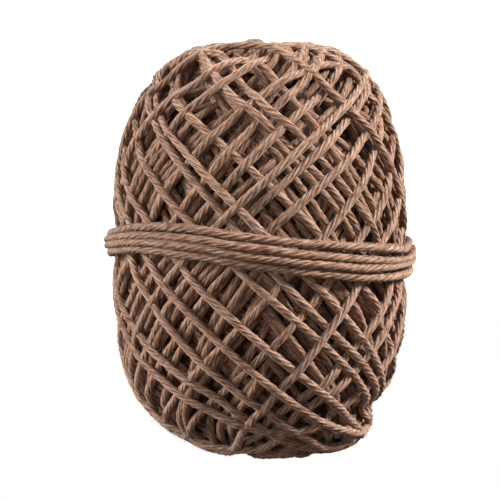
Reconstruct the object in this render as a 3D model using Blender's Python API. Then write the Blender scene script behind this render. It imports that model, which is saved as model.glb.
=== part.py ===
"""A barrel-shaped ball of brown cotton yarn, cross-wound, with a band of its last turns round the waist.

Metres, +Z up. The ball stands on its flat spot, with the origin at the centre of its base.
Longitude 0 is the front, which faces -Y, and longitudes grow towards +X. Heights inside the
functions are measured from the ball's middle, and arcs run over its surface from there.
"""

import math

import bpy
import numpy as np

# Driving sizes of the wound form, over its outer turns
HALF_WIDTH = 0.0311
HALF_HEIGHT = 0.0441
BARREL_POWER = 2.8  # exponent of the superellipse that the side view follows
BASE_CUT = 0.0006  # what the flat spot takes off the lower end
FLAT_RADIUS = 0.0100

# The lower end of the ball sits a little towards +X
LEAN = 0.0027
LEAN_START = -0.0350  # height at which the lean begins
LEAN_END = -0.0405  # height from which it is whole

# How a turn runs: its arc from the middle is a sine of the longitude, between its swings round the ends
SWING_RADIUS = 0.0135  # of the circle that a turn touches as it swings back
HALF_SPAN = 122.0  # degrees of longitude from where a turn crosses the middle to where it swings back
ROWS_FROM_MIDDLE = 31  # rows of crossings modelled above and below the middle

# A raised turn: its crest stands this high over the hollows between turns, with a foot on each side
RIDGE = 0.0018
FOOT_ANGLE = 3.8  # degrees of longitude from the crest to each foot, about 1.5 mm across the turn
CROSSING_RISE = 0.25  # share of the lower turn's lift that the upper one gains where it passes over
END_HOLLOWS = 0.40  # share of the hollows' depth that is left where the turns crowd together at the ends
END_ROWS = 10  # rows over which the hollows fill to that

TURNS = 18
FIRST_TURN = -170.0  # where the first turn would cross the middle, were they all even
LINES_PER_TURN = 3

# Main turns that rise to the right: where each crosses the middle, and its share of the ridge's height
RISING_TURNS = (
    # (longitude in degrees, lift)
    (-160.0, 0.80),
    (-140.0, 0.65),
    (-120.0, 0.90),
    (-105.0, 0.70),
    (-85.0, 0.75),
    (-64.0, 0.60),
    (-46.0, 0.70),
    (-22.0, 1.00),
    (-4.0, 0.85),
    (20.0, 0.95),
    (43.0, 0.80),
    (54.0, 0.90),
    (66.0, 0.70),
    (78.0, 0.60),
    (100.0, 0.75),
    (124.0, 0.90),
    (149.0, 0.65),
    (174.0, 0.85),
)

# Main turns that fall to the right
FALLING_TURNS = (
    # (longitude in degrees, lift)
    (-175.0, 0.60),
    (-155.0, 0.85),
    (-135.0, 0.70),
    (-118.0, 0.90),
    (-98.0, 0.65),
    (-80.0, 0.85),
    (-54.0, 0.75),
    (-42.0, 0.85),
    (-18.0, 0.80),
    (-5.0, 1.00),
    (26.0, 0.60),
    (42.0, 0.70),
    (57.0, 0.90),
    (78.0, 0.95),
    (97.0, 0.70),
    (118.0, 0.80),
    (140.0, 0.60),
    (162.0, 0.90),
)

# Rings that close the upper end round the well that the turns leave there, from the last crossings inwards
UPPER_RINGS = (
    # (radius, lift, depth under the barrel's end)
    (0.0126, 0.45, 0.0),
    (0.0114, 1.00, 0.0),
    (0.0101, 0.45, 0.0),
    (0.0088, 1.00, 0.0),
    (0.0076, 0.60, 0.0005),
    (0.0067, 0.60, 0.0017),
    (0.0058, 0.50, 0.0030),
    (0.0044, 0.30, 0.0029),
)

# The ring between the lowest crossings and the flat spot
LOWER_RING = 0.0124
LOWER_RING_LIFT = 0.7

# The waist band: four turns side by side, tight enough to press the ball in
BAND_TURNS = 4
BAND_PITCH = 0.00198  # from one turn to the next
BAND_BORE = 0.0307
BAND_CROWN = 0.00205  # how far a turn stands out from the bore
BAND_GAP = 0.0003  # between the pressed body and the band
BAND_TILT = 0.0016  # the band runs down from left to right by this
BAND_WAVE = 0.0012  # and by this at twice the longitude, so it is steepest at the front
BAND_STEPS = 64
PRESS_MARGIN = 0.0010  # the body is pressed fully in this far past the band's edges
PRESS_FADE = 0.0045  # and it is back at its full width this much further on

# Outline of one turn of the band: (share of the pitch across, share of the crown outwards)
BAND_TURN_OUTLINE = ((0.07, 0.50), (0.30, 1.00), (0.70, 1.00), (0.93, 0.50))
BAND_INSET = 0.3  # share of the pitch by which the bore stops short of the band's edges

YARN_BROWN = (0.254, 0.153, 0.098)
BAND_BROWN = (0.270, 0.165, 0.106)
COTTON_ROUGHNESS = 0.85

BASE_DROP = HALF_HEIGHT - BASE_CUT  # from the middle of the ball down to its base
ARC_SAMPLES = 2000


def barrel_radius(height):
    """Radius of the barrel at a height from its middle."""
    share = np.clip(np.abs(height) / HALF_HEIGHT, 0.0, 1.0)
    return HALF_WIDTH * (1.0 - share**BARREL_POWER) ** (1.0 / BARREL_POWER)


def barrel_height(radius):
    """Height from the middle at which the upper half has this radius."""
    share = np.clip(radius / HALF_WIDTH, 0.0, 1.0)
    return HALF_HEIGHT * (1.0 - share**BARREL_POWER) ** (1.0 / BARREL_POWER)


def barrel_normal(height, radius):
    """(outward, upward) parts of the barrel's unit normal."""
    outward = (radius / HALF_WIDTH) ** (BARREL_POWER - 1.0) / HALF_WIDTH
    upward = (np.abs(height) / HALF_HEIGHT) ** (BARREL_POWER - 1.0) / HALF_HEIGHT
    length = np.hypot(outward, upward)
    return outward / length, np.sign(height) * upward / length


def arc_table():
    """Arcs from the middle to the pole over the barrel's surface, with their heights and radii."""
    angle = np.linspace(0.0, math.pi / 2.0, ARC_SAMPLES)
    height = HALF_HEIGHT * np.sin(angle) ** (2.0 / BARREL_POWER)
    radius = HALF_WIDTH * np.cos(angle) ** (2.0 / BARREL_POWER)
    radius[-1] = 0.0
    steps = np.hypot(np.diff(height), np.diff(radius))
    arc = np.concatenate(((0.0,), np.cumsum(steps)))
    return arc, height, radius


def lean_at(height):
    """Sideways shift of the form, which comes in smoothly towards the lower end."""
    share = np.clip((LEAN_START - height) / (LEAN_START - LEAN_END), 0.0, 1.0)
    return LEAN * share * share * (3.0 - 2.0 * share)


def band_height(longitude):
    """Height of the band's centre line, a slanting wave round the waist."""
    return -BAND_TILT * np.sin(longitude) - BAND_WAVE * np.sin(2.0 * longitude)


def placed(longitude, radius, height):
    """Points at these longitudes, radii and heights, set on the flat spot."""
    x = radius * np.sin(longitude) + lean_at(height)
    y = -radius * np.cos(longitude)
    z = np.maximum(height + BASE_DROP, 0.0)
    return np.stack((x, y, z), axis=-1)


def even_line(index):
    """Longitude in degrees of a line, were all lines spaced evenly. The first turn's crest is line 1."""
    return FIRST_TURN + (index - 1) * 360.0 / (TURNS * LINES_PER_TURN)


def turn_lines(turns):
    """Mesh lines of one family, a foot, a crest and a foot for each turn.

    Returns the shift of each line from an even spacing, in degrees, and its lift.
    """
    lines = []
    for longitude, lift in turns:
        lines.append((longitude - FOOT_ANGLE, 0.0))
        lines.append((longitude, lift))
        lines.append((longitude + FOOT_ANGLE, 0.0))
    longitudes, lifts = np.array(lines).T
    return longitudes - even_line(np.arange(len(lines))), lifts


def crossing_rows():
    """Rows of points where rising lines meet falling lines, from the lowest row up, and their lifts.

    On a rising line the arc is S * sin(90 deg * g / HALF_SPAN), g being the longitude gone since the
    middle, and a falling line is its mirror, so two lines meet halfway between their starts. The
    lines' unevenness fades out towards the ends, where all swing round at the same radius.
    """
    count = TURNS * LINES_PER_TURN
    shift_up, lifts_up = turn_lines(RISING_TURNS)
    shift_down, lifts_down = turn_lines(FALLING_TURNS)
    arcs, heights, radii = arc_table()
    swing_arc = np.interp(-SWING_RADIUS, -radii, arcs)
    up = np.arange(count)
    rows = []
    lifts = []
    for row in range(-ROWS_FROM_MIDDLE, ROWS_FROM_MIDDLE + 1):
        down = up + row
        unevenness = 1.0 - (row / ROWS_FROM_MIDDLE) ** 2
        start_up = even_line(up) + unevenness * shift_up
        start_down = even_line(down) + unevenness * shift_down[down % count]
        longitude = np.radians((start_up + start_down) / 2.0)
        gone = (start_down - start_up) / 2.0
        arc = swing_arc * np.sin(math.pi / 2.0 * gone / HALF_SPAN)
        height = np.sign(arc) * np.interp(np.abs(arc), arcs, heights)
        lift = 1.0 - hollow_share(row) * (1.0 - crossing_lift(lifts_up, lifts_down[down % count]))
        rows.append(raised(longitude, height, lift))
        lifts.append(lift)
    return rows, lifts


def crossing_lift(lift_up, lift_down):
    """Lift where two lines meet: the higher line's, and a little more where it passes over another turn."""
    over = np.maximum(lift_up, lift_down) + CROSSING_RISE * np.minimum(lift_up, lift_down)
    return np.minimum(over, 1.0)


def hollow_share(row):
    """Share of the hollows' depth that a row keeps: all of it, less over the last rows at each end."""
    near_end = max(0.0, (abs(row) - ROWS_FROM_MIDDLE + END_ROWS) / END_ROWS)
    return 1.0 - (1.0 - END_HOLLOWS) * near_end


def pressed(longitude, height, lift):
    """Ridge heights, no higher than the room that the waist band leaves."""
    fully = BAND_TURNS * BAND_PITCH / 2.0 + PRESS_MARGIN
    past = np.abs(height - band_height(longitude)) - fully
    share = np.clip(past / PRESS_FADE, 0.0, 1.0)
    limit = BAND_BORE - BAND_GAP + share * (HALF_WIDTH - BAND_BORE + BAND_GAP)
    room = limit - (barrel_radius(height) - RIDGE)
    return np.where(share < 1.0, np.minimum(lift * RIDGE, room), lift * RIDGE)


def raised(longitude, height, lift):
    """Points at the height of their ridge, where a full ridge reaches the barrel's surface."""
    radius = barrel_radius(height)
    outward, upward = barrel_normal(height, radius)
    sunk = RIDGE - pressed(longitude, height, lift)
    return placed(longitude, radius - sunk * outward, height - sunk * upward)


def lattice_faces(lifts, count):
    """Triangles of the net of crossings.

    Point i of a row has point i of the next row up on its rising line, and point i - 1 on its falling
    one. Each diamond is split so that its fold joins the higher pair of corners.
    """
    faces = []
    for row in range(len(lifts) - 2):
        for i in range(count):
            j = (i - 1) % count
            bottom, right = row * count + i, (row + 1) * count + i
            left, top = (row + 1) * count + j, (row + 2) * count + j
            across = lifts[row + 1][i] + lifts[row + 1][j]
            upright = lifts[row][i] + lifts[row + 2][j]
            if across >= upright:
                faces.extend(((bottom, right, left), (right, top, left)))
            else:
                faces.extend(((bottom, right, top), (bottom, top, left)))
    last = (len(lifts) - 1) * count
    for i in range(count):
        j = (i - 1) % count
        faces.append((i, count + j, j))
        faces.append((last - count + i, last + i, last + j))
    return faces


def strip(low, high, count):
    """Triangles from one ring up to the next, each ring given by its first point."""
    faces = []
    for i in range(count):
        j = (i + 1) % count
        faces.append((low + i, low + j, high + j))
        faces.append((low + i, high + j, high + i))
    return faces


def even_longitudes(count, shift):
    """Longitudes of a ring of points, shifted by a number of half steps."""
    return np.radians(even_line(np.arange(count)) + shift * 180.0 / count)


def wound_ball():
    """The wound body: one solid with its main crossing turns raised, a well in its top and a flat spot."""
    rows, lifts = crossing_rows()
    count = len(rows[0])
    points = list(rows)
    faces = lattice_faces(lifts, count)
    longitude = even_longitudes(count, ROWS_FROM_MIDDLE)
    ring = (len(rows) - 1) * count
    for radius, lift, depth in UPPER_RINGS:
        height = barrel_height(radius) - depth - (1.0 - lift) * RIDGE
        points.append(placed(longitude, radius, np.full(count, height)))
        following = (len(points) - 1) * count
        faces += strip(ring, following, count)
        ring = following
    faces.append(tuple(range(ring, ring + count)))
    longitude = even_longitudes(count, -ROWS_FROM_MIDDLE)
    low_height = (1.0 - LOWER_RING_LIFT) * RIDGE - barrel_height(LOWER_RING)
    points.append(placed(longitude, LOWER_RING, np.full(count, low_height)))
    points.append(placed(longitude, FLAT_RADIUS, np.full(count, -BASE_DROP)))
    ring = (len(points) - 2) * count
    faces += strip(ring, 0, count)
    faces += strip(ring + count, ring, count)
    faces.append(tuple(reversed(range(ring + count, ring + 2 * count))))
    return new_object("wound_ball", np.concatenate(points), faces, YARN_BROWN)


def band_section():
    """Outline of the band as (outward from the bore, upward from its centre line), a crown for each turn."""
    half = BAND_TURNS * BAND_PITCH / 2.0
    outline = [(0.0, -half + BAND_INSET * BAND_PITCH)]
    for turn in range(BAND_TURNS):
        for across, out in BAND_TURN_OUTLINE:
            outline.append((out * BAND_CROWN, -half + (turn + across) * BAND_PITCH))
    outline.append((0.0, half - BAND_INSET * BAND_PITCH))
    return outline


def waist_band():
    """The last turns, wound side by side round the waist: one ring with a crown for each turn."""
    outline = band_section()
    longitude = np.linspace(0.0, math.tau, BAND_STEPS, endpoint=False)
    rings = []
    for outward, upward in outline:
        height = band_height(longitude) + upward
        rings.append(placed(longitude, np.full(BAND_STEPS, BAND_BORE + outward), height))
    faces = []
    for ring in range(len(outline)):
        following = (ring + 1) % len(outline)
        faces += strip(ring * BAND_STEPS, following * BAND_STEPS, BAND_STEPS)
    return new_object("waist_band", np.concatenate(rings), faces, BAND_BROWN)


def cotton(name, colour):
    """Matt brown cotton."""
    material = bpy.data.materials.new(name + "_cotton")
    material.use_nodes = True
    shader = material.node_tree.nodes["Principled BSDF"]
    shader.inputs["Base Color"].default_value = (*colour, 1.0)
    shader.inputs["Roughness"].default_value = COTTON_ROUGHNESS
    shader.inputs["Metallic"].default_value = 0.0
    return material


def new_object(name, points, faces, colour):
    """An object of these points and faces, shaded smooth, in cotton of this colour."""
    mesh = bpy.data.meshes.new(name)
    mesh.from_pydata([tuple(map(float, point)) for point in points], [], faces)
    mesh.shade_smooth()
    mesh.materials.append(cotton(name, colour))
    made = bpy.data.objects.new(name, mesh)
    bpy.context.scene.collection.objects.link(made)
    return made


def main():
    for old in list(bpy.data.objects):
        bpy.data.objects.remove(old)
    wound_ball()
    waist_band()


main()
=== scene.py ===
"""Looks of a cross-wound ball of brown cotton yarn, with a band of its last turns round the waist.

Metres and radians, +Z up, the front facing -Y. Longitude 0 is the front and longitudes grow towards +X.
Heights in the functions are measured from the ball's middle. A place on the ball is its longitude, its
arc (the way over the surface from the middle, upwards) and its depth under the barrel's surface.
"""

import math

import bpy
import numpy as np
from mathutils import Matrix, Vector


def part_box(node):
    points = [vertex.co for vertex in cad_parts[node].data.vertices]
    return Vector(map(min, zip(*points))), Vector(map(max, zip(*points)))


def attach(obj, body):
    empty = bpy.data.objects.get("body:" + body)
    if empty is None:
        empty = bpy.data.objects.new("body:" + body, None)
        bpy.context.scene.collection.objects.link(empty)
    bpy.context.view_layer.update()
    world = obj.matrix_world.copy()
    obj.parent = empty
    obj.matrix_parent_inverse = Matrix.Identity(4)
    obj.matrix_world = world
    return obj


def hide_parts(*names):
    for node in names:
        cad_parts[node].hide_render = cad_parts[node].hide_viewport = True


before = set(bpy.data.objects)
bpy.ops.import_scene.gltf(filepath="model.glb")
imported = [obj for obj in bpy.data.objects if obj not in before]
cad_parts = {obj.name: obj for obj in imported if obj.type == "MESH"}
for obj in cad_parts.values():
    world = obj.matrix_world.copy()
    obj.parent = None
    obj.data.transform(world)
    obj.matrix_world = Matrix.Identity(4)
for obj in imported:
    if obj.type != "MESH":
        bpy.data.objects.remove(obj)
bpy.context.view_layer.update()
ball_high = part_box("wound_ball")[1]
band_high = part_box("waist_band")[1]

# The yarn: five plies, twisted the S way
YARN_RADIUS = 0.00084  # drawn tight in the ball
WAIST_YARN_RADIUS = 0.00090
WAIST_THINNEST = 0.00063  # where its turns crowd each other
PLIES = 5
TWIST_PITCH = 0.0108  # length of one whole turn of the twist
WAIST_TWIST_PITCH = 0.0106
PLY_VALLEY = 0.77  # radius in the valley between two plies, as a share of the yarn's
PLY_ROUNDNESS = 0.7  # exponent of the bump that each ply makes, less is fuller
TWIST_WAVER = 0.45  # radians
TWIST_WAVER_LENGTH = 0.009
SWELL = 0.045  # share by which the thickness wavers
SWELL_LENGTH = 0.008
SQUASH = 0.05  # the yarn is this share flatter and wider where it lies on the ball
NESTING = 0.72  # share of two radii that crossing turns stay apart, as soft cotton gives way

# The wound form
BAND_STANDS_OUT = 0.00165
HALF_WIDTH = band_high.x - BAND_STANDS_OUT
BASE_CUT = 0.0006
RIM_DROP = 0.00046  # from the barrel's pole down to the well's rim, the highest place of the solid
HALF_HEIGHT = (ball_high.z + RIM_DROP + BASE_CUT) / 2.0
BASE_DROP = HALF_HEIGHT - BASE_CUT  # from the middle down to the flat spot
BARREL_POWER = 2.8  # exponent of the superellipse that the side view follows
ARC_SAMPLES = 4000
LEAN = 0.0027  # the lower end sits this much towards +X
LEAN_START = -0.0330
LEAN_END = -0.0405
UPPER_LEAN = 0.0006  # the upper end too, but less
UPPER_LEAN_START = 0.0290
UPPER_LEAN_END = 0.0370

# The waist band's wave, and the groove that it presses into the ball
BAND_TILT = 0.0016
BAND_WAVE = 0.0012
BAND_HALF = 0.0040
GROOVE_DEPTH = 0.0007
GROOVE_FADE = 0.0040

# How a turn runs: arc = reach * sin(90 deg * gone / span), gone being the longitude since the middle
PASS_SAMPLES = 161
TAUT_ROUNDS = 220
HALF_BLEND = 0.4  # the lower reach gives way to the upper one between -this and this share of a pass
SWING_BLEND_START = 0.55  # from this share of a pass the reach nears that of the pass it swings into
SWING_BLEND_FADE = 0.45
PASS_WAVER = 0.010  # radians by which a pass strays from its even run
FLOOR_SHARE = 0.97  # least height of a centre line over the floor, in yarn radii
TENSION = 0.38  # 1 draws a turn straight between what carries it, less lets it follow the ball more

# The outer turns that rise to the right
OUTER_RISING = (
    # (longitude at the middle in deg, upper reach, lower reach in mm, span in deg, order from the lowest up)
    (-160.0, 52.0, 46.0, 108.0, 13),
    (-138.0, 54.0, 42.0, 108.0, 6),
    (-110.0, 55.5, 44.0, 108.0, 37),
    (-98.0, 44.0, 43.0, 102.0, 32),
    (-80.0, 43.0, 43.0, 104.0, 27),
    (-61.0, 40.0, 42.0, 108.0, 7),
    (-46.0, 42.0, 43.0, 108.0, 8),
    (-38.0, 40.0, 48.0, 108.0, 10),
    (-27.0, 37.0, 43.0, 108.0, 36),
    (-19.0, 38.0, 42.0, 108.0, 19),
    (-5.0, 36.0, 39.0, 104.0, 23),
    (19.0, 42.0, 41.0, 120.0, 16),
    (38.0, 42.0, 41.0, 112.0, 11),
    (53.0, 43.0, 45.0, 108.0, 34),
    (74.0, 43.0, 43.0, 112.0, 24),
    (86.0, 44.0, 40.0, 112.0, 22),
    (101.0, 43.0, 41.0, 108.0, 20),
    (124.0, 42.0, 53.0, 108.0, 4),
    (149.0, 54.0, 52.0, 112.0, 2),
    (174.0, 43.0, 41.0, 104.0, 17),
)

# The outer turns that fall to the right
OUTER_FALLING = (
    # (longitude at the middle in deg, upper reach, lower reach in mm, span in deg, order from the lowest up)
    (-175.0, 53.0, 43.0, 108.0, 5),
    (-155.0, 42.0, 54.0, 112.0, 29),
    (-135.0, 55.0, 50.0, 108.0, 12),
    (-118.0, 44.0, 52.0, 112.0, 38),
    (-104.0, 43.0, 37.0, 130.0, 40),
    (-94.0, 43.0, 36.0, 128.0, 25),
    (-65.0, 43.0, 40.0, 116.0, 26),
    (-53.0, 43.0, 41.0, 124.0, 39),
    (-38.0, 40.0, 40.0, 124.0, 33),
    (-16.0, 43.0, 43.0, 130.0, 31),
    (-2.0, 43.0, 37.0, 108.0, 30),
    (8.0, 37.0, 42.0, 108.0, 28),
    (30.0, 35.0, 43.0, 104.0, 3),
    (51.0, 39.0, 43.0, 108.0, 9),
    (57.0, 35.0, 43.0, 92.0, 15),
    (88.0, 42.0, 43.0, 92.0, 35),
    (110.0, 54.0, 43.0, 100.0, 18),
    (128.0, 56.0, 42.0, 108.0, 21),
    (146.0, 41.0, 53.0, 108.0, 1),
    (164.0, 53.0, 44.0, 108.0, 14),
)

# The layers under the outer one, from the innermost out
INNER_LAYERS = (
    # (name, turns each way, depth, points round a section, step along the yarn, tone with painted shade that
    # darkens the deeper layers, seed)
    ("third", 50, 0.0036, 10, 0.00140, 0.60, 32),
    ("second", 52, 0.0018, 15, 0.00120, 0.80, 23),
)
OUTER_POINTS = 20
OUTER_STEP = 0.00100
OUTER_SEED = 14
INNER_REACH_LOW = 0.036
INNER_REACH_HIGH = 0.0640
WELL_REACH = 0.0572  # the furthest any turn reaches, where it swings round the well
INNER_SPAN_AT_MIDDLE = 112.0  # degrees, for a reach of INNER_REACH_MIDDLE
INNER_REACH_MIDDLE = 0.043
INNER_SPAN_PER_REACH = 500.0  # degrees more for each metre of reach
NEIGHBOUR_SPACING = 0.0024  # along the waist, from one turn of a group to the next
NEIGHBOUR_SPREAD = (0.95, 1.12)  # least and most share of that spacing
GROUP_GAP_SPREAD = (0.7, 1.3)  # least and most weight of a gap between groups
GROUP_SHARE = 0.82  # share of the turns that lie close beside the one before
TOP_SIDE = 50.0  # degrees from the front to where a family lies wholly over the other
PIECE_TRIANGLES = 195000
SHORTEST_STRETCH = 12  # sections, where a yarn is split between two pieces
TONE_SPREAD = (0.94, 1.06)  # least and most share of a layer's tone that one stretch has

# The level that the winding evens out to: local top, taken over a reach and smoothed over a width
LEVEL_LONGITUDES = 72
LEVEL_ARCS = 45
LEVEL_REACH = 0.0045
LEVEL_SMOOTHING = 0.0038
LEVEL_ROUNDS = 3
LEVEL_NONE = -0.001  # taken as the rise where no turn is near
LEAST_AREA = 0.01  # share of a waist node's area that a node at the pole still has
LEVEL_LIFT = 0.0009  # the upper turns stand this much over the level
END_LIFT = 0.0017  # and this much more at the ends, where they are drawn tight over the rim
END_LIFT_START = 0.034
END_LIFT_FADE = 0.010
FLUSH_SOFTNESS = 0.0003  # how gently they are pressed flush with the barrel
FLUSH = 0.75  # depth of the topmost centre lines, in yarn radii
END_FLUSH = 1.25  # and at the ends
END_FLUSH_START = 0.046
END_FLUSH_FADE = 0.008

# The core under the layers, coloured with painted shade
CORE_RIDGE = 0.0009
CORE_RIDGES = 84
CORE_ROUND = 252
CORE_RINGS = 92
CORE_ARC = 0.0615
CORE_LAG = 0.027  # arc over which its ridges turn by a radian
WELL_ARC = 0.0550  # from here to the pole lies the well that the turns leave open
WELL_FADE = 0.0040
WELL_DEPTH = 0.0040
CORE_DEEPEST = 0.0050  # no gap between the turns shows deeper than this
CORE_DEEPEST_AT_ENDS = 0.0042
CORE_SHADE_TONE = 0.16  # painted shade between the ridges, where it looks nearly black
# Painted shade on the ridges, lighter than between them
CORE_RIDGE_SHADE_TONE = 0.50

# The waist turns' centre lines, measured on the front, in mm over the ball's middle
WAIST_TURNS = (
    # (longitude in degrees, first, second, third, fourth)
    (-180.0, 2.4, 0.8, -0.8, -2.4),
    (-130.0, 3.2, 1.8, 0.4, -1.2),
    (-90.0, 3.1, 1.9, 0.6, -0.9),
    (-73.0, 3.8, 2.5, 1.2, -0.2),
    (-53.0, 4.8, 3.2, 1.8, 0.4),
    (-40.0, 5.0, 3.2, 1.7, 0.1),
    (-28.0, 4.7, 2.8, 1.2, -0.6),
    (-21.0, 4.3, 2.4, 0.8, -1.0),
    (-10.0, 3.3, 1.4, -0.4, -2.0),
    (0.0, 2.6, 0.7, -1.2, -2.9),
    (18.0, 1.6, -0.6, -2.3, -4.1),
    (41.0, 0.9, -1.6, -3.4, -5.2),
    (57.0, 0.5, -2.0, -3.3, -5.3),
    (71.0, 0.2, -1.8, -2.8, -5.0),
    (81.0, 0.8, -0.9, -2.3, -4.6),
    (90.0, 1.6, 0.1, -1.7, -4.0),
    (110.0, 2.2, 0.6, -0.9, -2.7),
    (135.0, 2.6, 0.9, -0.7, -2.4),
    (180.0, 2.4, 0.8, -0.8, -2.4),
)
WAIST_EDGE = 0.0007  # the first and the last turn lie this much further in, so the bundle is rounded
WAIST_TONE = 0.92
WAIST_SIDE_TONE = 0.42  # where a turn lies against the next and little light comes back
WAIST_STEP = 0.0006
WAIST_SAMPLES = 900
WAIST_SMOOTHING = 60  # rounds
WAIST_DROP_START = 2.1  # longitude from which a turn runs down into the next
WAIST_SQUEEZE = 0.50  # yarn radius as a share of the room between two turns
WAIST_SUNK = 0.93  # depth of the centre lines under the solid's crowns, in yarn radii
WAIST_TUCK = 0.35  # longitude over which each end is tucked in
WAIST_TUCK_DEPTH = 0.0034
WAIST_SIDE_START = 0.60  # share of the yarn's radius, up or down, from where its side is shaded
WAIST_SIDE_FADE = 0.40
WAIST_EASE = 0.4  # how far a turn eases in and out of each row of the table
WAIST_SEED = 5

# Loose fibres that stand out of the yarn
FIBRES = 13000
WAIST_FIBRES = 3000
FIBRE_LENGTH = 0.0013
FIBRE_RADIUS = 0.000034
FIBRE_SINK = 0.00008  # their roots start this deep in the yarn
FIBRE_TONE = 1.4
FIBRE_LENGTHS = (0.35, 1.5)  # least and most share of the length
FIBRE_OUTWARD = 0.7
FIBRE_SLANT = (0.3, 1.6)  # least and most share along the yarn
FIBRE_SPREAD = 0.25
FIBRE_ASIDE = 0.3  # turns the sideways direction off the yarn's own
FIBRE_FACES = (
    # a closed spike: points 0-2 round the root, 3 the tip
    (0, 2, 1), (0, 1, 3), (1, 2, 3), (2, 0, 3),
)
FIBRE_SEED = 77


# The cotton's streaks and mottling
STREAK_SLANT = 150.0  # plies that a streak crosses in each metre of yarn
STREAKS_A_METRE = 430.0
STREAKS_A_PLY = 3.8
MOTTLE_SCALE = 140.0  # patches about 7 mm across

# The paper sweep, the lights and the camera
SWEEP_ROUND = 64
SWEEP_PROFILE = (
    # (radius, height) of the paper, from the flat floor up
    (0.5, 0.0),
    (1.1, 0.0),
    (1.3, 0.07),
    (1.45, 0.25),
    (1.5, 0.6),
    (1.5, 2.2),
)
LIGHTS = (
    # (name, place, what it is turned to, side of its square face, power in watts)
    ("right", (0.86, -0.22, 0.74), (0.0, 0.0, 0.05), 0.30, 35.0),
    ("left", (-0.90, -0.16, 0.34), (0.0, 0.0, 0.05), 0.40, 15.4),
    ("front", (-0.45, -0.90, 0.05), (0.0, 0.0, 0.035), 0.50, 4.2),
)
CAMERA_DISTANCE = 0.45
CAMERA_RISE = 1.5  # degrees that it looks down
SENSOR_WIDTH = 36.0  # mm
IMAGE_WIDTH_PX = 500.0
PX_PER_MM = 4.76
BALL_RIGHT_PX = 10.0  # the ball stands this far right of the image's middle
BALL_UP_PX = 1.5  # and this far over it


def barrel_arcs():
    """Arcs over the barrel from its middle to its pole, with their heights and radii.

    The side view is a superellipse: (radius / half width)^p + (height / half height)^p = 1.
    """
    angle = np.linspace(0.0, math.pi / 2.0, ARC_SAMPLES)
    height = HALF_HEIGHT * np.sin(angle) ** (2.0 / BARREL_POWER)
    radius = HALF_WIDTH * np.abs(np.cos(angle)) ** (2.0 / BARREL_POWER)
    steps = np.hypot(np.diff(height), np.diff(radius))
    return np.concatenate(((0.0,), np.cumsum(steps))), height, radius


ARCS, ARC_HEIGHTS, ARC_RADII = barrel_arcs()


def on_barrel(longitude, arc, depth):
    """Points and outward normals at a longitude, an arc and a depth under the barrel.

    The point is (radius sin, -radius cos, height) less depth times the superellipse's normal.
    """
    height = np.sign(arc) * np.interp(np.abs(arc), ARCS, ARC_HEIGHTS)
    radius = np.interp(np.abs(arc), ARCS, ARC_RADII)
    outward = (radius / HALF_WIDTH) ** (BARREL_POWER - 1.0) / HALF_WIDTH
    upward = np.sign(height) * (np.abs(height) / HALF_HEIGHT) ** (BARREL_POWER - 1.0) / HALF_HEIGHT
    length = np.hypot(outward, upward)
    outward, upward = outward / length, upward / length
    normal = np.stack((outward * np.sin(longitude), -outward * np.cos(longitude), upward), axis=-1)
    surface = np.stack((radius * np.sin(longitude), -radius * np.cos(longitude), height), axis=-1)
    return surface - depth[..., None] * normal, normal


def smooth_step(value):
    """0 below 0, 1 above 1, and 3 v^2 - 2 v^3 between."""
    value = np.clip(value, 0.0, 1.0)
    return value * value * (3.0 - 2.0 * value)


def set_down(points):
    """Points with heights from the middle, leaned at both ends and stood on the flat spot."""
    height = points[..., 2]
    lean = LEAN * smooth_step((LEAN_START - height) / (LEAN_START - LEAN_END))
    lean += UPPER_LEAN * smooth_step((height - UPPER_LEAN_START) / (UPPER_LEAN_END - UPPER_LEAN_START))
    moved = points.copy()
    moved[..., 0] += lean
    moved[..., 2] += BASE_DROP
    return moved


def groove(longitude, height):
    """How far the ball is pressed in: fully under the band's wave, fading out past its edges."""
    wave = -BAND_TILT * np.sin(longitude) - BAND_WAVE * np.sin(2.0 * longitude)
    past = np.abs(height - wave) - BAND_HALF
    return GROOVE_DEPTH * (1.0 - smooth_step(past / GROOVE_FADE))


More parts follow.
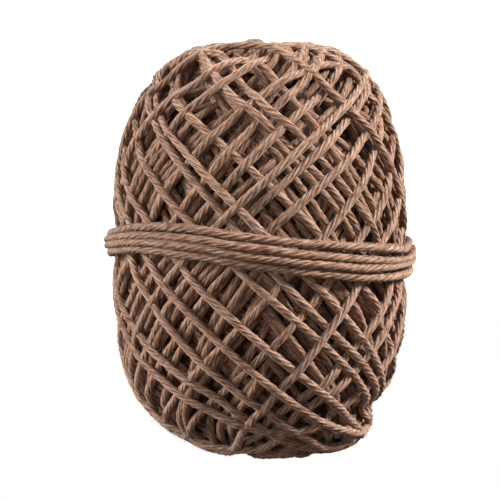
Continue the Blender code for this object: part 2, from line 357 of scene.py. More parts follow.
class Layer:
    """One layer of the winding: its passes from end to end of the ball, rising ones first, then falling."""

    def __init__(self, rising, falling, order, depth, rng):
        self.count = len(rising)
        passes = np.concatenate((rising, falling))
        self.start = np.radians(passes[:, 0])
        self.upper, self.lower = 0.001 * passes[:, 1], 0.001 * passes[:, 2]
        self.way = np.repeat((1.0, -1.0), self.count)
        self.order = order
        self.depth = depth
        self.span_up = np.radians(passes[:, 3])
        self.span_down = np.radians(passes[:, 3])
        self.link_up = self.link(1.0)
        self.link_down = self.link(-1.0)
        self.sample(rng)

    def link(self, end):
        """Pairs each rising pass with the falling pass that it swings into at one end.

        Both families are sorted by the longitude at which they swing, and the turn of one list
        against the other that leaves the smallest gaps is taken. Both spans then meet halfway.
        """
        spans = self.span_up if end > 0.0 else self.span_down
        swing = self.start + end * self.way * spans
        rising = np.argsort(swing[: self.count] % math.tau)
        falling = self.count + np.argsort(swing[self.count :] % math.tau)
        best = None
        for shift in range(self.count):
            gaps = swing[np.roll(falling, shift)] - swing[rising]
            gaps = (gaps + math.pi) % math.tau - math.pi
            cost = float(np.sum(gaps * gaps))
            if best is None or cost < best[0]:
                best = (cost, np.roll(falling, shift), gaps)
        partner = np.zeros(2 * self.count, int)
        partner[rising] = best[1]
        partner[best[1]] = rising
        spans[rising] += end * best[2] / 2.0
        spans[best[1]] += end * best[2] / 2.0
        return partner

    def sample(self, rng):
        """Longitude and arc of every pass at even steps of u, from -1 at the lower swing to 1 at the upper.

        The arc is reach * sin(90 deg * u). The reach blends from the lower to the upper one through the
        middle, and towards each swing it blends into the mean of the two passes that are linked there.
        """
        u = np.linspace(-1.0, 1.0, PASS_SAMPLES)[None, :]
        upper_half = smooth_step((u + HALF_BLEND) / (2.0 * HALF_BLEND))
        mean_up = (self.upper + self.upper[self.link_up]) / 2.0
        mean_down = (self.lower + self.lower[self.link_down]) / 2.0
        near_end = smooth_step((np.abs(u) - SWING_BLEND_START) / SWING_BLEND_FADE)
        reach_up = self.upper[:, None] + near_end * (mean_up - self.upper)[:, None]
        reach_down = self.lower[:, None] + near_end * (mean_down - self.lower)[:, None]
        reach = reach_down + upper_half * (reach_up - reach_down)
        span = self.span_down[:, None] + upper_half * (self.span_up - self.span_down)[:, None]
        waver = rng.normal(0.0, PASS_WAVER, (2, 2 * self.count, 1))
        bend = waver[0] * np.sin(2.0 * math.pi * u) + waver[1] * np.sin(3.0 * math.pi * u)
        self.arc = reach * np.sin(math.pi / 2.0 * u)
        self.longitude = self.start[:, None] + self.way[:, None] * (u * span) + bend
        self.rise = np.zeros_like(self.arc)
        self.floor = np.zeros_like(self.arc)

    def places(self, depth):
        """Points of every pass at a depth under the barrel."""
        return on_barrel(self.longitude, self.arc, np.full_like(self.arc, depth))[0]

    def sags(self):
        """How far a straight yarn drops below the surface between neighbouring samples, at each sample."""
        points, normals = on_barrel(self.longitude, self.arc, np.full_like(self.arc, self.depth))
        bend = points[:, :-2] + points[:, 2:] - 2.0 * points[:, 1:-1]
        sag = np.zeros_like(self.arc)
        sag[:, 1:-1] = np.maximum(0.0, -0.5 * np.sum(bend * normals[:, 1:-1], axis=-1))
        sag[:, 0], sag[:, -1] = sag[:, 1], sag[:, -2]
        return sag / TENSION

    def loops(self):
        """The closed loops that the linked passes make, each a list of passes in the yarn's direction."""
        left = set(range(self.count))
        found = []
        while left:
            first = min(left)
            loop, rising = [], first
            while rising in left:
                left.remove(rising)
                falling = self.link_up[rising]
                loop += [rising, falling]
                rising = self.link_down[falling]
            found.append(loop)
        return found


def grouped_longitudes(rng, count, radius):
    """Longitudes round the waist in degrees: groups of turns side by side, with wider gaps between groups."""
    close = math.degrees(NEIGHBOUR_SPACING / radius)
    in_group = rng.random(count) < GROUP_SHARE
    beside = close * rng.uniform(*NEIGHBOUR_SPREAD, count)
    apart = rng.uniform(*GROUP_GAP_SPREAD, count)
    gaps = np.where(in_group, beside, apart)
    spare = 360.0 - gaps[in_group].sum()
    gaps[~in_group] *= spare / gaps[~in_group].sum()
    return rng.uniform(0.0, 360.0) + np.cumsum(gaps)


def inner_layer(count, depth, seed):
    """A layer under the outer one, with its turns in seeded groups."""
    rng = np.random.default_rng(seed)
    families = []
    for _ in range(2):
        longitudes = grouped_longitudes(rng, count, HALF_WIDTH - depth)
        reaches = rng.uniform(INNER_REACH_LOW, INNER_REACH_HIGH, (count, 2))
        reaches = np.minimum(reaches, WELL_REACH)
        spans = INNER_SPAN_AT_MIDDLE + INNER_SPAN_PER_REACH * (reaches.mean(axis=1) - INNER_REACH_MIDDLE)
        families.append(np.column_stack((longitudes, 1000.0 * reaches, spans)))
    # On the left the rising turns lie over the falling ones, and on the right the other way round
    side = np.radians(np.concatenate((families[0][:, 0] + TOP_SIDE, families[1][:, 0] - TOP_SIDE)))
    order = np.argsort(np.cos(side))
    return Layer(families[0], families[1], order, depth, rng)


def outer_layer():
    """The outer turns, from the tables."""
    rising = np.array(OUTER_RISING)
    falling = np.array(OUTER_FALLING)
    order = np.argsort(np.concatenate((rising[:, 4], falling[:, 4])))
    return Layer(rising, falling, order, 0.0, np.random.default_rng(OUTER_SEED))


def lay(layers):
    """Lays every pass in its order over all those before it, and gives each its rise over the core.

    Where a pass comes within a yarn's width of one that is laid, it is lifted to that one's rise plus
    sqrt(width^2 - distance^2). Between such places it is drawn taut: each sample comes down to the
    mean of its neighbours less the sag of the surface, but never below what carries it.
    """
    width = 2.0 * YARN_RADIUS * NESTING
    laid_longitude, laid_arc, laid_rise = [], [], []
    for layer in layers:
        sag = layer.sags()
        here = layer.places(layer.depth)
        under = None
        if laid_rise:
            flat = (np.concatenate(laid_longitude), np.concatenate(laid_arc))
            under = on_barrel(flat[0], flat[1], np.full_like(flat[0], layer.depth))[0]
            under_rise = np.concatenate(laid_rise)
        done = []
        for index in layer.order:
            floor = np.zeros(PASS_SAMPLES)
            points, rises = [], []
            if under is not None:
                points.append(under)
                rises.append(under_rise)
            if done:
                points.append(here[done].reshape(-1, 3))
                rises.append(layer.rise[done].reshape(-1))
            if points:
                floor = carried(here[index], np.concatenate(points), np.concatenate(rises), width)
            layer.floor[index] = floor
            layer.rise[index] = drawn_taut(floor, sag[index], False)
            done.append(index)
        laid_longitude.append(layer.longitude.reshape(-1))
        laid_arc.append(layer.arc.reshape(-1))
        laid_rise.append(layer.rise.reshape(-1))


def carried(points, laid, rises, width):
    """The least rise of each point that clears the laid yarn by a width."""
    low = points.min(axis=0) - width
    high = points.max(axis=0) + width
    near = np.all((laid > low) & (laid < high), axis=1)
    laid, rises = laid[near], rises[near]
    square = squared_distances(points, laid)
    reach = np.where(square < width * width, rises + np.sqrt(np.maximum(width * width - square, 0.0)), 0.0)
    return np.maximum(reach.max(axis=1), 0.0)


def drawn_taut(floor, sag, closed):
    """Rises of a yarn drawn taut over a floor."""
    rise = floor.copy()
    for _ in range(TAUT_ROUNDS):
        before = np.roll(rise, 1)
        after = np.roll(rise, -1)
        if not closed:
            before[0], after[-1] = rise[1], rise[-2]
        rise = np.maximum(floor, (before + after) / 2.0 - sag)
    return rise


def level_field(layers):
    """The rise that the upper turns reach at every longitude and arc, as a grid.

    At each node it is the highest rise within a reach, smoothed over the surface with Gaussian weights
    of the distance. What is left over after the smoothing is found the same way and added.
    """
    longitude = np.linspace(-math.pi, math.pi, LEVEL_LONGITUDES, endpoint=False)
    arc = np.linspace(-ARCS[-1], ARCS[-1], LEVEL_ARCS)
    arcs, longitudes = np.meshgrid(arc, longitude, indexing="ij")
    nodes = on_barrel(longitudes, arcs, np.zeros_like(arcs))[0].reshape(-1, 3)
    area = np.maximum(LEAST_AREA, np.interp(np.abs(arcs.reshape(-1)), ARCS, ARC_RADII) / HALF_WIDTH)
    laid = np.concatenate([layer.places(0.0).reshape(-1, 3) for layer in layers])
    laid_longitude = np.concatenate([layer.longitude.reshape(-1) for layer in layers])
    laid_arc = np.concatenate([layer.arc.reshape(-1) for layer in layers])
    rise = np.concatenate([layer.rise.reshape(-1) for layer in layers])
    parts = np.array_split(np.arange(len(nodes)), LEVEL_ARCS)
    level = np.zeros((LEVEL_ARCS, LEVEL_LONGITUDES))
    for _ in range(LEVEL_ROUNDS):
        left = rise - level_at(level, laid_longitude, laid_arc)
        tops = np.zeros(len(nodes))
        smooth = np.zeros(len(nodes))
        for part in parts:
            square = squared_distances(nodes[part], laid)
            tops[part] = np.where(square < LEVEL_REACH**2, left, LEVEL_NONE).max(axis=1)
        for part in parts:
            weight = np.exp(-squared_distances(nodes[part], nodes) / (2.0 * LEVEL_SMOOTHING**2)) * area
            smooth[part] = (weight * tops).sum(1) / weight.sum(1)
        level = level + smooth.reshape(level.shape)
    return level


def squared_distances(points, others):
    """Squared distances of every point from every other, by |a|^2 + |b|^2 - 2 a.b."""
    return (points**2).sum(1)[:, None] + (others**2).sum(1)[None, :] - 2.0 * points @ others.T


def level_at(level, longitude, arc):
    """The level between the nodes, by bilinear interpolation, joined round the ball."""
    across = (longitude + math.pi) % math.tau / math.tau * LEVEL_LONGITUDES
    along = np.clip((arc / ARCS[-1] + 1.0) / 2.0 * (LEVEL_ARCS - 1), 0.0, LEVEL_ARCS - 1.001)
    left, low = across.astype(int) % LEVEL_LONGITUDES, along.astype(int)
    right = (left + 1) % LEVEL_LONGITUDES
    a, b = across - np.floor(across), along - low
    lower = level[low, left] * (1.0 - a) + level[low, right] * a
    upper = level[low + 1, left] * (1.0 - a) + level[low + 1, right] * a
    return lower * (1.0 - b) + upper * b


def loop_path(layer, loop, level):
    """Centre line and normals of one closed loop, in place on the ball."""
    longitude, arc, floor, rise, sag = [], [], [], [], []
    sags = layer.sags()
    for index in loop:
        step = slice(0, -1) if layer.way[index] > 0.0 else slice(None, 0, -1)
        longitude.append(layer.longitude[index][step])
        arc.append(layer.arc[index][step])
        floor.append(layer.floor[index][step])
        rise.append(layer.rise[index][step])
        sag.append(sags[index][step])
    longitude, arc = np.concatenate(longitude), np.concatenate(arc)
    floor, rise, sag = np.concatenate(floor), np.concatenate(rise), np.concatenate(sag)
    rise = drawn_taut(np.maximum(floor, rise - YARN_RADIUS), sag, True)
    for _ in range(2):
        rise = (np.roll(rise, 1) + 2.0 * rise + np.roll(rise, -1)) / 4.0
    lift = LEVEL_LIFT + END_LIFT * smooth_step((np.abs(arc) - END_LIFT_START) / END_LIFT_FADE)
    depth = level_at(level, longitude, arc) - lift - rise + YARN_RADIUS
    at_end = smooth_step((np.abs(arc) - END_FLUSH_START) / END_FLUSH_FADE)
    flush = YARN_RADIUS * (FLUSH + (END_FLUSH - FLUSH) * at_end)
    depth = flush + FLUSH_SOFTNESS * np.logaddexp(0.0, (depth - flush) / FLUSH_SOFTNESS)
    height = on_barrel(longitude, arc, depth)[0][..., 2]
    points, normals = on_barrel(longitude, arc, depth + groove(longitude, height))
    points = set_down(points)
    points[:, 2] = np.maximum(points[:, 2], YARN_RADIUS * FLOOR_SHARE)
    return points, normals


def resampled(points, columns, step, closed):
    """The same line at even steps, with what its columns hold there and its lengths.

    It is smoothed once, each point being (before + 2 point + after) / 4. A closed line's last point is
    its first again.
    """
    if closed:
        points = np.concatenate((points, points[:1]))
        columns = np.concatenate((columns, columns[:1]))
    lengths = np.concatenate(((0.0,), np.cumsum(np.linalg.norm(np.diff(points, axis=0), axis=1))))
    count = max(8, int(round(lengths[-1] / step)))
    even = np.linspace(0.0, lengths[-1], count + 1)
    line = np.stack([np.interp(even, lengths, points[:, i]) for i in range(3)], axis=-1)
    held = np.stack([np.interp(even, lengths, column) for column in columns.T], axis=-1)
    smooth = line.copy()
    smooth[1:-1] = (line[:-2] + 2.0 * line[1:-1] + line[2:]) / 4.0
    if closed:
        ends = (line[-2] + 2.0 * line[0] + line[1]) / 4.0
        smooth[0] = smooth[-1] = ends
    return smooth, held, even


def yarn_section(points):
    """Angles and radii round a section of radius 1, with a bump for each ply.

    radius = valley + (1 - valley) * |cos(plies * angle / 2)|^roundness
    """
    angle = np.arange(points) * math.tau / points
    bump = np.abs(np.cos(PLIES * angle / 2.0)) ** PLY_ROUNDNESS
    return angle, PLY_VALLEY + (1.0 - PLY_VALLEY) * bump


def yarn_grid(line, normals, lengths, points, size, pitch, closed, rng):
    """Points of a twisted yarn: section points turned about the line by the twist, one whole turn a pitch.

    The section is line + radius (cos N + sin B), N being the ball's normal made square to the line and
    B = N x T, and it is a little flatter along N. On a closed line the pitch is stretched so that the
    twist meets itself. The twist and the thickness waver a little, as in any spun yarn.
    """
    ahead = np.gradient(line, axis=0)
    if closed:
        ahead[0] = ahead[-1] = line[1] - line[-2]
    ahead /= np.linalg.norm(ahead, axis=1, keepdims=True)
    out = normals - np.sum(normals * ahead, axis=1, keepdims=True) * ahead
    out /= np.linalg.norm(out, axis=1, keepdims=True)
    across = np.cross(out, ahead)
    whole = lengths[-1] / pitch
    if closed:
        whole = round(whole)
    angle, radius = yarn_section(points)
    twist = math.tau * whole * lengths / lengths[-1]
    twist = twist + TWIST_WAVER * even_waver(lengths, TWIST_WAVER_LENGTH, rng)
    turned = angle[None, :] + twist[:, None]
    swell = (size * (1.0 + SWELL * even_waver(lengths, SWELL_LENGTH, rng)))[:, None]
    along_out = (radius * swell * np.cos(turned) * (1.0 - SQUASH))[..., None] * out[:, None, :]
    along_across = (radius * swell * np.sin(turned) * (1.0 + SQUASH))[..., None] * across[:, None, :]
    grid = line[:, None, :] + along_out + along_across
    grid[..., 2] = np.maximum(grid[..., 2], 0.0)
    return grid


def even_waver(lengths, wave, rng):
    """A slow wavering along a length: random values a wave apart, joined smoothly, the same at both ends."""
    knots = max(4, int(lengths[-1] / wave))
    values = rng.normal(0.0, 1.0, knots + 1)
    values[-1] = values[0]
    place = lengths / lengths[-1] * knots
    low = np.minimum(place.astype(int), knots - 1)
    return values[low] + (values[low + 1] - values[low]) * smooth_step(place - low)


class Mesh:
    """Gathers grids of points into one mesh, whose UV map has u in metres along the yarn and v in plies."""

    def __init__(self):
        self.points, self.faces, self.uvs, self.tones, self.total = [], [], [], [], 0

    def triangles(self):
        """How many triangles are gathered so far."""
        return sum(len(face) * (2 if face.shape[1] == 4 else 1) for face in self.faces)

    def add_tube(self, grid, lengths, closed, tone_and_shade):
        """A tube of sections. A closed one joins its last section to its first, an open one gets end caps."""
        rows, columns = grid.shape[:2]
        if closed:
            grid = grid[:-1]
        count = len(grid)
        row = np.arange(rows - 1)[:, None]
        column = np.arange(columns)[None, :]
        after = (row + 1) % count if closed else row + 1
        beside = (column + 1) % columns
        a, b = row * columns + column, after * columns + column
        c, d = after * columns + beside, row * columns + beside
        self.faces.append(self.total + np.stack((a, b, c, d), axis=-1).reshape(-1, 4))
        u = np.stack((lengths[:-1], lengths[1:], lengths[1:], lengths[:-1]), axis=-1)
        u = np.repeat(u[:, None, :], columns, axis=1)
        v = np.stack((column[0], column[0], column[0] + 1, column[0] + 1), axis=-1) * PLIES / columns
        v = np.repeat(v[None, :, :], rows - 1, axis=0)
        self.uvs.append(np.stack((u, v), axis=-1).reshape(-1, 2))
        self.points.append(grid.reshape(-1, 3))
        self.tones.append(np.broadcast_to(tone_and_shade, (count, columns)).reshape(-1))
        first = self.total
        self.total += count * columns
        if not closed:
            self.cap(first, columns, grid[0].mean(axis=0), lengths[0], False)
            self.cap(first + (count - 1) * columns, columns, grid[-1].mean(axis=0), lengths[-1], True)

    def add_fibres(self, line, grid, count, rng):
        """Loose fibres as thin three-sided spikes that leave the yarn's surface at a slant."""
        row = rng.integers(1, len(line) - 1, count)
        column = rng.integers(0, grid.shape[1], count)
        root = grid[row, column]
        outward = root - line[row]
        outward /= np.linalg.norm(outward, axis=1, keepdims=True)
        along = line[row + 1] - line[row]
        along /= np.linalg.norm(along, axis=1, keepdims=True)
        way = rng.choice((-1.0, 1.0), (count, 1))
        slant = way * along * rng.uniform(*FIBRE_SLANT, (count, 1))
        direction = FIBRE_OUTWARD * outward + slant + rng.normal(0.0, FIBRE_SPREAD, (count, 3))
        direction /= np.linalg.norm(direction, axis=1, keepdims=True)
        length = FIBRE_LENGTH * rng.uniform(*FIBRE_LENGTHS, (count, 1))
        root = root - FIBRE_SINK * outward
        tip = root + length * direction
        side = np.cross(direction, along + FIBRE_ASIDE)
        side /= np.linalg.norm(side, axis=1, keepdims=True)
        other = np.cross(direction, side)
        turn = np.arange(3) * math.tau / 3.0
        ring = np.cos(turn)[None, :, None] * side[:, None] + np.sin(turn)[None, :, None] * other[:, None]
        shape = np.concatenate((root[:, None] + FIBRE_RADIUS * ring, tip[:, None]), axis=1)
        shape[..., 2] = np.maximum(shape[..., 2], 0.0)
        faces = np.array(FIBRE_FACES)
        self.faces.append((self.total + 4 * np.arange(count)[:, None, None] + faces[None]).reshape(-1, 3))
        self.uvs.append(np.repeat(rng.random((count, 2)), 3 * len(faces), axis=0))
        self.points.append(shape.reshape(-1, 3))
        self.tones.append(np.full(4 * count, FIBRE_TONE))
        self.total += 4 * count

    def cap(self, ring, columns, middle, length, far):
        """A fan of triangles that closes one end."""
        column = np.arange(columns)
        beside = (column + 1) % columns
        middles = np.full(columns, self.total - ring)
        fan = (column, beside, middles) if far else (beside, column, middles)
        self.faces.append(ring + np.stack(fan, axis=-1))
        self.uvs.append(np.full((3 * columns, 2), (length, 0.0)))
        self.points.append(middle[None, :])
        # Its middle gets the core's painted shade
        self.tones.append(np.full(1, CORE_SHADE_TONE))
        self.total += 1

    def finish(self, name, material):
        """The mesh as an object that rides on the ball's body."""
        points = np.concatenate(self.points)
        mesh = bpy.data.meshes.new(name)
        sizes = np.concatenate([np.full(len(f), f.shape[1]) for f in self.faces])
        corners = np.concatenate([f.reshape(-1) for f in self.faces])
        mesh.vertices.add(len(points))
        mesh.vertices.foreach_set("co", points.astype(np.float32).reshape(-1))
        mesh.loops.add(len(corners))
        mesh.loops.foreach_set("vertex_index", corners.astype(np.int32))
        mesh.polygons.add(len(sizes))
        starts = np.concatenate(((0,), np.cumsum(sizes)[:-1]))
        mesh.polygons.foreach_set("loop_start", starts.astype(np.int32))
        mesh.update(calc_edges=True)
        layer = mesh.uv_layers.new(name="yarn")
        layer.uv.foreach_set("vector", np.concatenate(self.uvs).astype(np.float32).reshape(-1))
        tone_and_shade = mesh.attributes.new("tone_and_shade", "FLOAT", "POINT")
        tone_and_shade.data.foreach_set("value", np.concatenate(self.tones).astype(np.float32))
        mesh.shade_smooth()
        mesh.set_sharp_from_angle(angle=math.radians(80.0))
        mesh.materials.append(material)
        made = bpy.data.objects.new(name, mesh)
        bpy.context.scene.collection.objects.link(made)
        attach(made, "root")
        return made


def linear(value):
    """One sRGB channel, 0 to 1, as linear light."""
    return value / 12.92 if value <= 0.04045 else ((value + 0.055) / 1.055) ** 2.4


def colour(hex_value):
    """An sRGB hex colour as linear RGBA."""
    channels = [int(hex_value[i : i + 2], 16) / 255.0 for i in (1, 3, 5)]
    return (*[linear(c) for c in channels], 1.0)


def add(tree, kind, settings=None, links=None):
    """Adds a node with its settings, socket values by name, and links from other nodes' outputs."""
    node = tree.nodes.new(kind)
    for key, value in (settings or {}).items():
        if isinstance(key, str) and hasattr(node, key):
            setattr(node, key, value)
        else:
            node.inputs[key].default_value = value
    for key, output in (links or {}).items():
        tree.links.new(output, node.inputs[key])
    return node


def combed_cotton(name, lit, shaded, deep):
    """Plied combed cotton: matt, with soft lengthwise fibres in each ply and painted shade in the valleys
    between plies.

    To the eye it is a dull warm brown cord whose plies catch the light one by one, with a faint bloom
    of fuzz at its edges.
    """
    material = bpy.data.materials.new(name)
    material.use_nodes = True
    tree = material.node_tree
    shader = tree.nodes["Principled BSDF"]
    shader.inputs["Roughness"].default_value = 0.86
    shader.inputs["Specular IOR Level"].default_value = 0.22
    shader.inputs["Sheen Weight"].default_value = 0.27
    shader.inputs["Sheen Roughness"].default_value = 0.45
    shader.inputs["Sheen Tint"].default_value = colour("#f4e8dd")
    map_node = add(tree, "ShaderNodeUVMap", {"uv_map": "yarn"})
    split = add(tree, "ShaderNodeSeparateXYZ", None, {"Vector": map_node.outputs["UV"]})
    # Fibres are 0.02 mm thick, too fine to show. The streaks are about 0.28 mm wide and 2.3 mm long, with
    # finer ones in them, and lie at a slant over each ply
    skew = add(tree, "ShaderNodeMath", {"operation": "MULTIPLY", 1: STREAK_SLANT}, {0: split.outputs["X"]})
    around = add(tree, "ShaderNodeMath", {"operation": "ADD"}, {0: split.outputs["Y"], 1: skew.outputs[0]})
    a_metre = {"operation": "MULTIPLY", 1: STREAKS_A_METRE}
    long_u = add(tree, "ShaderNodeMath", a_metre, {0: split.outputs["X"]})
    wide_v = add(tree, "ShaderNodeMath", {"operation": "MULTIPLY", 1: STREAKS_A_PLY}, {0: around.outputs[0]})
    place = add(tree, "ShaderNodeCombineXYZ", None, {"X": long_u.outputs[0], "Y": wide_v.outputs[0]})
    streak = add(
        tree,
        "ShaderNodeTexNoise",
        {"Scale": 1.0, "Detail": 3.0, "Roughness": 0.6},
        {"Vector": place.outputs[0]},
    )
    # Painted shade in the valley between plies: v is a whole number on a crest, and a half lies in the valley
    wave = add(tree, "ShaderNodeMath", {"operation": "PINGPONG", 1: 0.5}, {0: split.outputs["Y"]})
    valley = add(
        tree,
        "ShaderNodeMapRange",
        {"From Min": 0.28, "From Max": 0.5, "To Max": 0.50, "interpolation_type": "SMOOTHSTEP"},
        {"Value": wave.outputs[0]},
    )
    streaks = add(tree, "ShaderNodeValToRGB", None, {"Fac": streak.outputs["Fac"]})
    streaks.color_ramp.elements[0].position = 0.40
    streaks.color_ramp.elements[0].color = colour(shaded)
    streaks.color_ramp.elements[1].position = 0.57
    streaks.color_ramp.elements[1].color = colour(lit)
    # Darkens the colour towards the painted valley shade
    darker = add(
        tree,
        "ShaderNodeMix",
        {"data_type": "RGBA", 7: colour(deep)},
        {0: valley.outputs[0], 6: streaks.outputs["Color"]},
    )
    # The tone attribute holds each yarn's random tone together with painted shade: deeper layers, the core
    # and the band's pressed sides are darker
    tone_and_shade = add(tree, "ShaderNodeAttribute", {"attribute_name": "tone_and_shade"})
    where = add(tree, "ShaderNodeTexCoord")
    mottle = add(
        tree,
        "ShaderNodeTexNoise",
        {"Scale": MOTTLE_SCALE, "Detail": 2.0},
        {"Vector": where.outputs["Object"]},
    )
    mottled = {"operation": "MULTIPLY_ADD", 1: 0.30, 2: 0.85}
    both = add(tree, "ShaderNodeMath", mottled, {0: mottle.outputs["Fac"]})
    factors = {0: both.outputs[0], 1: tone_and_shade.outputs["Fac"]}
    value = add(tree, "ShaderNodeMath", {"operation": "MULTIPLY"}, factors)
    # Light that comes back from deep between the turns has met more cotton, so it is redder there
    richer = {"operation": "MULTIPLY_ADD", 1: -0.40, 2: 1.40}
    redder = add(tree, "ShaderNodeMath", richer, {0: tone_and_shade.outputs["Fac"]})
    shade = add(
        tree,
        "ShaderNodeHueSaturation",
        None,
        {"Saturation": redder.outputs[0], "Value": value.outputs[0], "Color": darker.outputs[2]},
    )
    tree.links.new(shade.outputs["Color"], shader.inputs["Base Color"])
    bump = add(
        tree,
        "ShaderNodeBump",
        {"Strength": 0.85, "Distance": 0.00014},
        {"Height": streak.outputs["Fac"]},
    )
    tree.links.new(bump.outputs["Normal"], shader.inputs["Normal"])
    return material


def add_layer(layer, name, points, step, tone_and_shade, level, material, seed):
    """Builds one layer's yarn as pieces of at most PIECE_TRIANGLES triangles."""
    rng = np.random.default_rng(seed)
    gathered = Mesh()
    built = []
    number = 1
    for loop in layer.loops():
        path, normals = loop_path(layer, loop, level)
        line, out, lengths = resampled(path, normals, step, True)
        grid = yarn_grid(line, out, lengths, points, YARN_RADIUS, TWIST_PITCH, True, rng)
        built.append((line, grid))
        start = 0
        while start < len(grid) - 1:
            room = (PIECE_TRIANGLES - gathered.triangles()) // (2 * points) - 2
            whole = start == 0 and len(grid) - 1 <= room
            stop = min(len(grid), start + max(room, 0) + 1)
            if whole or stop - start >= SHORTEST_STRETCH:
                # Each stretch gets its layer's tone, darker deeper down as painted shade, with a random
                # spread
                own_tone = tone_and_shade * rng.uniform(*TONE_SPREAD)
                gathered.add_tube(grid[start:stop], lengths[start:stop], whole, own_tone)
                start = stop - 1
            if start < len(grid) - 1:
                made = gathered.finish(f"{name}_{number}", material)
                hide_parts("wound_ball")
                gathered, number = Mesh(), number + 1
    made = gathered.finish(f"{name}_{number}", material)
    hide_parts("wound_ball")
    return built


def add_fuzz(built, count, name, node, material):
    """Loose fibres on all these yarns, shared out by their lengths."""
    rng = np.random.default_rng(FIBRE_SEED)
    total = sum(len(line) for line, _ in built)
    gathered = Mesh()
    for line, grid in built:
        gathered.add_fibres(line, grid, int(round(count * len(line) / total)), rng)
    made = gathered.finish(name, material)
    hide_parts(node)


def add_core(level, material):
    """The inside that shows deep between the turns: it follows the level, just under the first layer, and is
    coloured as painted shade.

    depth = level less ridge * the larger of |cos| of two waves that run round it either way.
    """
    longitude = np.linspace(0.0, math.tau, CORE_ROUND, endpoint=False)[None, :]
    arc = np.linspace(-CORE_ARC, CORE_ARC, CORE_RINGS)[:, None]
    longitude, arc = np.broadcast_arrays(longitude, arc)
    lag = arc / CORE_LAG
    rising = np.abs(np.cos(CORE_RIDGES / 2 * (longitude - lag)))
    falling = np.abs(np.cos(CORE_RIDGES / 2 * (longitude + lag)))
    ridge = CORE_RIDGE * (1.0 - smooth_step((np.abs(arc) - WELL_ARC + WELL_FADE) / WELL_FADE))
    depth = level_at(level, longitude, arc) + 2.0 * YARN_RADIUS - ridge * np.maximum(rising, falling)
    at_ends = smooth_step((np.abs(arc) - END_LIFT_START) / END_LIFT_FADE)
    deepest = CORE_DEEPEST + (CORE_DEEPEST_AT_ENDS - CORE_DEEPEST) * at_ends
    depth = np.minimum(depth, deepest + CORE_RIDGE - ridge * np.maximum(rising, falling))
    depth += (WELL_DEPTH - depth) * smooth_step((np.abs(arc) - WELL_ARC) / WELL_FADE)
    height = on_barrel(longitude, arc, depth)[0][..., 2]
    points = set_down(on_barrel(longitude, arc, depth + groove(longitude, height))[0])
    # Painted shade: nearly black between the ridges, lighter on their crests
    share = np.maximum(rising, falling) ** 4
    tone_and_shade = CORE_SHADE_TONE + (CORE_RIDGE_SHADE_TONE - CORE_SHADE_TONE) * share * (ridge / CORE_RIDGE)
    gathered = Mesh()
    lengths = np.linspace(0.0, 2.0 * CORE_ARC, CORE_RINGS)
    gathered.add_tube(points, lengths, False, tone_and_shade)
    made = gathered.finish("core", material)
    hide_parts("wound_ball")


def add_waist(material):
    """The last turns: one yarn that winds four times round the waist and tucks its ends in at the back.

    Where turns crowd each other the yarn is squeezed thinner, and where even that leaves no room the
    second and the fourth give way inwards.
    """
    table = np.array(WAIST_TURNS)
    total = 4.0 * math.tau
    angle = np.linspace(0.0, total, WAIST_SAMPLES)
    turn = np.minimum((angle / math.tau).astype(int), 3)
    longitude = angle - turn * math.tau - math.pi
    degrees = np.degrees(longitude)
    heights = np.stack([smooth_interp(degrees, table[:, 0], table[:, 1 + k]) for k in range(4)])
    height = np.zeros(WAIST_SAMPLES)
    inwards = np.zeros(WAIST_SAMPLES)
    size = np.zeros(WAIST_SAMPLES)
    drop = smooth_step((longitude - WAIST_DROP_START) / (math.pi - WAIST_DROP_START))
    for k in range(4):
        here = turn == k
        own, following = heights[k, here], heights[min(k + 1, 3), here]
        height[here] = 0.001 * (own + (following - own) * drop[here])
        if k in (0, 3):
            inwards[here] = WAIST_EDGE
        beside = [heights[other, here] for other in (k - 1, k + 1) if 0 <= other <= 3]
        room = 0.001 * np.abs(np.stack(beside) - own).min(axis=0)
        size[here] = np.clip(WAIST_SQUEEZE * room, WAIST_THINNEST, WAIST_YARN_RADIUS)
        if k in (1, 3):
            inwards[here] += np.clip(2.0 * WAIST_THINNEST - room, 0.0, WAIST_YARN_RADIUS)
    for _ in range(WAIST_SMOOTHING):
        inwards[1:-1] = (inwards[:-2] + 2.0 * inwards[1:-1] + inwards[2:]) / 4.0
        size[1:-1] = (size[:-2] + 2.0 * size[1:-1] + size[2:]) / 4.0
    tuck = 1.0 - smooth_step(np.minimum(angle, total - angle) / WAIST_TUCK)
    radius = band_high.x - WAIST_SUNK * size - WAIST_TUCK_DEPTH * tuck - inwards
    points = np.stack((radius * np.sin(longitude), -radius * np.cos(longitude), height + BASE_DROP), axis=-1)
    columns = np.stack((np.sin(longitude), -np.cos(longitude), np.zeros(WAIST_SAMPLES), size), axis=-1)
    line, columns, lengths = resampled(points, columns, WAIST_STEP, False)
    out, size = columns[:, :3], columns[:, 3]
    rng = np.random.default_rng(WAIST_SEED)
    grid = yarn_grid(line, out, lengths, OUTER_POINTS, size, WAIST_TWIST_PITCH, False, rng)
    aside = np.abs(grid[..., 2] - line[:, None, 2]) / size[:, None]
    shaded = smooth_step((aside - WAIST_SIDE_START) / WAIST_SIDE_FADE)
    tone_and_shade = WAIST_TONE + (WAIST_SIDE_TONE - WAIST_TONE) * shaded
    gathered = Mesh()
    gathered.add_tube(grid, lengths, False, tone_and_shade)
    made = gathered.finish("waist_turns", material)
    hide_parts("waist_band")
    return [(line, grid)]


def smooth_interp(x, knots, values):
    """Interpolation between knots that eases in and out of each, part smooth step and part straight."""
    place = np.clip(np.searchsorted(knots, x, side="right") - 1, 0, len(knots) - 2)
    straight = np.clip((x - knots[place]) / (knots[place + 1] - knots[place]), 0.0, 1.0)
    share = WAIST_EASE * smooth_step(straight) + (1.0 - WAIST_EASE) * straight
    return values[place] + (values[place + 1] - values[place]) * share


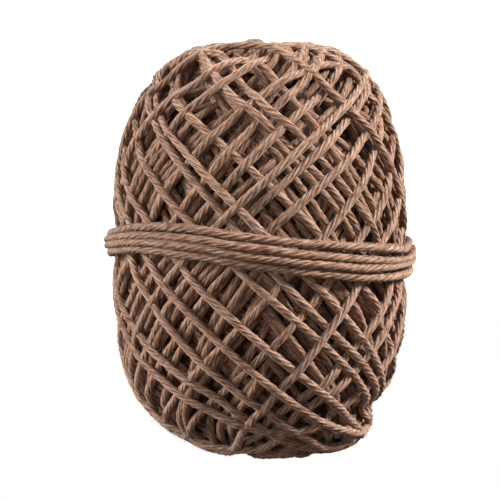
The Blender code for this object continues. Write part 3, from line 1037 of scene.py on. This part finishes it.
def studio():
    """A pale sweep of paper that turns up all round, a soft light from each side, and a weak one in front."""
    profile = np.array(SWEEP_PROFILE)
    angle = np.arange(SWEEP_ROUND)[None, :] * math.tau / SWEEP_ROUND
    radius, height = profile[:, :1], profile[:, 1:]
    rings = np.broadcast_arrays(radius * np.cos(angle), radius * np.sin(angle), height)
    points = np.stack(rings, axis=-1).reshape(-1, 3)
    row = np.arange(len(profile) - 1)[:, None] * SWEEP_ROUND
    column = np.arange(SWEEP_ROUND)[None, :]
    beside = (column + 1) % SWEEP_ROUND
    corners = (row + column, row + beside, row + SWEEP_ROUND + beside, row + SWEEP_ROUND + column)
    quads = np.stack(corners, axis=-1)
    faces = [list(range(SWEEP_ROUND))] + quads.reshape(-1, 4).tolist()
    mesh = bpy.data.meshes.new("paper_sweep")
    mesh.from_pydata(points.tolist(), [], faces)
    mesh.shade_smooth()
    # Uncoated white paper, matt and so evenly lit that it looks pure white with no shadow on it
    material = bpy.data.materials.new("white_paper")
    material.use_nodes = True
    shader = material.node_tree.nodes["Principled BSDF"]
    shader.inputs["Base Color"].default_value = colour("#f6f5f3")
    shader.inputs["Roughness"].default_value = 0.9
    shader.inputs["Specular IOR Level"].default_value = 0.1
    shader.inputs["Emission Color"].default_value = colour("#ffffff")
    shader.inputs["Emission Strength"].default_value = 1.0
    mesh.materials.append(material)
    sweep = bpy.data.objects.new("paper_sweep", mesh)
    bpy.context.scene.collection.objects.link(sweep)
    # Its white would light the ball from below, which the photograph doesn't show
    sweep.visible_diffuse = False

    for name, place, aim, size, power in LIGHTS:
        light = bpy.data.lights.new(name, "AREA")
        light.shape = "SQUARE"
        light.size = size
        light.energy = power
        lamp = bpy.data.objects.new(name, light)
        lamp.location = place
        lamp.rotation_mode = "QUATERNION"
        direction = Vector(aim) - Vector(place)
        lamp.rotation_quaternion = direction.to_track_quat("-Z", "Y")
        bpy.context.scene.collection.objects.link(lamp)

    world = bpy.data.worlds.new("room")
    world.use_nodes = True
    world.node_tree.nodes["Background"].inputs["Color"].default_value = colour("#ffd9b8")
    world.node_tree.nodes["Background"].inputs["Strength"].default_value = 0.115
    bpy.context.scene.world = world
    bpy.context.scene.view_settings.view_transform = "Standard"


def camera():
    """The camera of the photograph: nearly level, 0.45 m in front, framing 105 mm at the ball."""
    data = bpy.data.cameras.new("camera")
    data.sensor_width = SENSOR_WIDTH
    framed = IMAGE_WIDTH_PX / PX_PER_MM * 0.001
    data.lens = SENSOR_WIDTH * CAMERA_DISTANCE / framed
    eye = bpy.data.objects.new("camera", data)
    aim_x = -BALL_RIGHT_PX / PX_PER_MM * 0.001
    aim_z = BASE_DROP - BALL_UP_PX / PX_PER_MM * 0.001
    rise = math.radians(CAMERA_RISE)
    eye.location = (aim_x, -CAMERA_DISTANCE * math.cos(rise), aim_z + CAMERA_DISTANCE * math.sin(rise))
    eye.rotation_mode = "QUATERNION"
    direction = Vector((aim_x, 0.0, aim_z)) - eye.location
    eye.rotation_quaternion = direction.to_track_quat("-Z", "Y")
    bpy.context.scene.collection.objects.link(eye)
    bpy.context.scene.camera = eye


def main():
    """Builds the yarn, layer by layer from the inside out, in its studio."""
    # The last colour of each is the painted shade in the valleys between plies
    cotton = combed_cotton("combed_cotton_ball", "#ab8b75", "#59341e", "#3c1b09")
    band_cotton = combed_cotton("combed_cotton_band", "#ad8d77", "#5a3620", "#3c1b09")
    camera()
    studio()
    layers = [inner_layer(count, depth, seed) for _, count, depth, _, _, _, seed in INNER_LAYERS]
    outer = outer_layer()
    lay(layers + [outer])
    level = level_field([layers[-1], outer])
    for layer, (name, _, _, points, step, tone_and_shade, seed) in zip(layers, INNER_LAYERS):
        add_layer(layer, "turns_" + name, points, step, tone_and_shade, level, cotton, seed)
    built = add_layer(outer, "turns_outer", OUTER_POINTS, OUTER_STEP, 1.0, level, cotton, OUTER_SEED)
    add_core(level, cotton)
    waist = add_waist(band_cotton)
    add_fuzz(built, FIBRES, "ball_fuzz", "wound_ball", cotton)
    add_fuzz(waist, WAIST_FIBRES, "waist_fuzz", "waist_band", band_cotton)


main()
